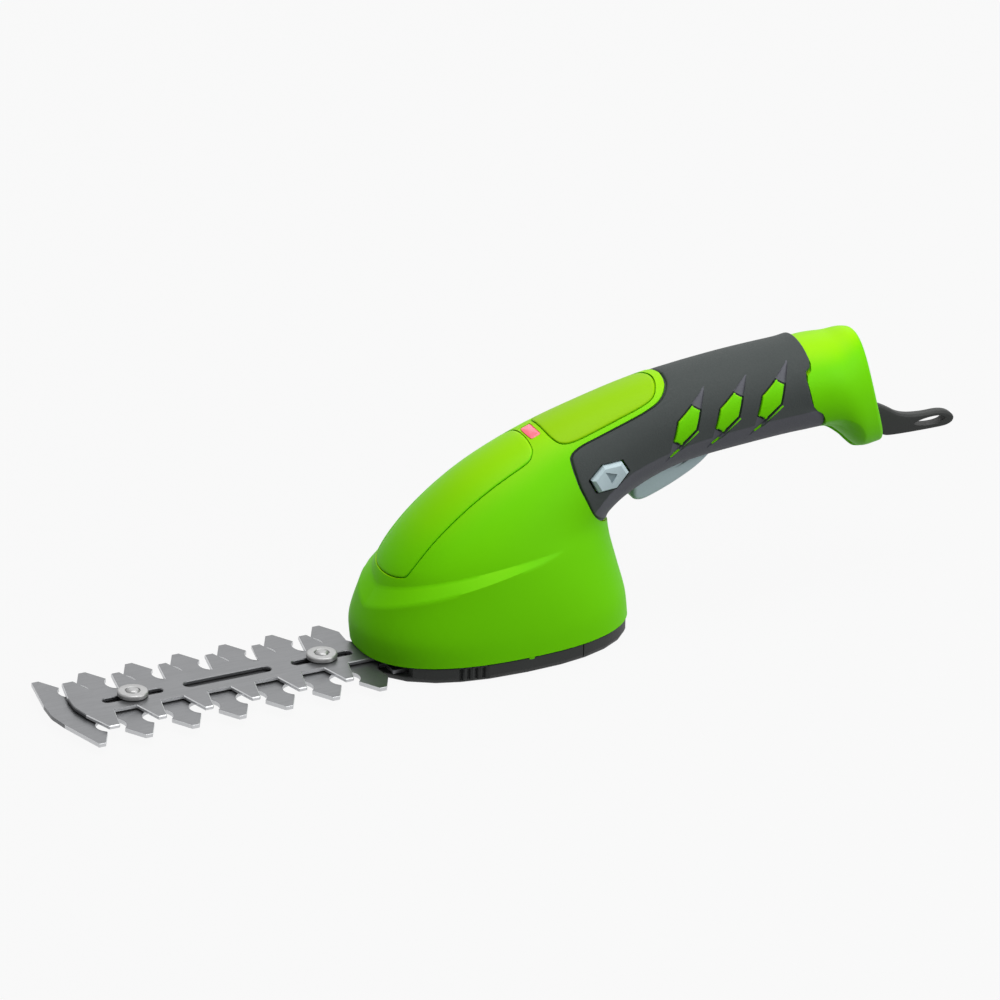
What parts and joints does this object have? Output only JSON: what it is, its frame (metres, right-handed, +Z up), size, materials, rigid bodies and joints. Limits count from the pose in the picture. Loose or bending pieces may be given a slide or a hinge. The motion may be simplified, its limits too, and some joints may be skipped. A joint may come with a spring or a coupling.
{
  "type": "cordless grass shears",
  "caption": "Cordless grass shears: domed motor housing with an arched soft-grip handle, trigger and lock-off button, driving a flat double-sided shrub blade that slides to and fro.",
  "frame": {"origin": "middle of the base, on the plane of the sole that the tool stands on", "axes": "+X towards the end of the handle, the blade points to -X; +Y to the tool's right; +Z up"},
  "size_m": [0.362, 0.0662, 0.0975],
  "materials": {
    "green_shell": "satin",
    "green_panel": "fine satin",
    "lime_panel": "fine satin",
    "red_lens": "clear gloss",
    "grip_rubber": "matt",
    "black_plastic": "fine grain",
    "grey_plastic": "satin",
    "blade_steel": "ground",
    "bright_steel": "turned",
    "gear_plastic": "smooth",
    "plate_alloy": "cast",
    "brass": "turned",
    "winding": "lacquered",
    "magnet": "sintered",
    "circuit_board": "satin",
    "cell_wrap": "sleeved"
  },
  "bodies": {
    "housing": {"housing_left": "green_shell", "housing_right": "green_shell", "nose_panel": "green_panel", "top_panel": "lime_panel", "status_lens": "red_lens", "lens_board": "circuit_board", "grip_sleeve": "grip_rubber", "end_cap": "green_shell", "hanging_loop": "grip_rubber", "base_frame": "black_plastic", "blade_cover": "black_plastic", "housing_screws": "bright_steel", "base_screws": "bright_steel", "fixed_blade": "blade_steel", "blade_bolts": "bright_steel", "blade_washers": "bright_steel", "gear_plate": "plate_alloy", "crank_axle": "bright_steel", "idler_axle": "bright_steel", "motor_can": "bright_steel", "motor_end_bell": "gear_plastic", "motor_magnets": "magnet", "motor_screws": "bright_steel", "motor_board": "circuit_board", "trigger_pin": "bright_steel", "trigger_spring": "bright_steel", "switch_frame": "black_plastic", "micro_switch": "black_plastic", "lock_guide": "black_plastic", "lock_spring": "bright_steel", "battery_cell": "cell_wrap", "cell_cradle": "black_plastic", "cell_contacts": "brass", "charge_socket": "black_plastic", "charge_board": "circuit_board"},
    "moving_blade": {"moving_blade": "blade_steel"},
    "crank": {"crank_gear": "gear_plastic"},
    "idler": {"idler_gear": "gear_plastic"},
    "rotor": {"motor_rotor": "winding", "motor_shaft": "bright_steel", "motor_pinion": "brass"},
    "trigger": {"trigger": "grey_plastic"},
    "lock": {"lock_button": "grey_plastic", "lock_clip": "bright_steel"}
  },
  "joints": [
    {"name": "motor_spin", "type": "hinge", "parent": "housing", "child": "rotor", "pos_m": [0.02601, 0, 0.037], "axis": [0, 0, 1], "range_deg": [-1080, 1080]},
    {"name": "idler_spin", "type": "hinge", "parent": "housing", "child": "idler", "pos_m": [0.01175, 0.01014, 0.013], "axis": [0, 0, 1], "range_deg": [-270, 270]},
    {"name": "crank_spin", "type": "hinge", "parent": "housing", "child": "crank", "pos_m": [-0.01, 0, 0.011], "axis": [0, 0, 1], "range_deg": [-90, 90]},
    {"name": "blade_slide", "type": "slide", "parent": "housing", "child": "moving_blade", "axis": [1, 0, 0], "range_m": [-0.008, 0.008]},
    {"name": "trigger_pull", "type": "hinge", "parent": "housing", "child": "trigger", "pos_m": [0.087, 0, 0.0627], "axis": [0, 1, 0], "range_deg": [0, 9], "stiffness_Nm_per_rad": 0.4, "springref_deg": -2.86, "deforming": ["trigger_spring"]},
    {"name": "lock_press", "type": "slide", "parent": "housing", "child": "lock", "axis": [0, 1, 0], "range_m": [0, 0.0025], "stiffness_N_per_m": 700, "springref_m": -0.001, "deforming": ["lock_spring"]}
  ],
  "couplings": [
    {"joint": "crank_spin", "follows": "blade_slide", "rad_per_m": 196.35},
    {"joint": "idler_spin", "follows": "blade_slide", "rad_per_m": -589.05},
    {"joint": "motor_spin", "follows": "blade_slide", "rad_per_m": 2356.2}
  ]
}
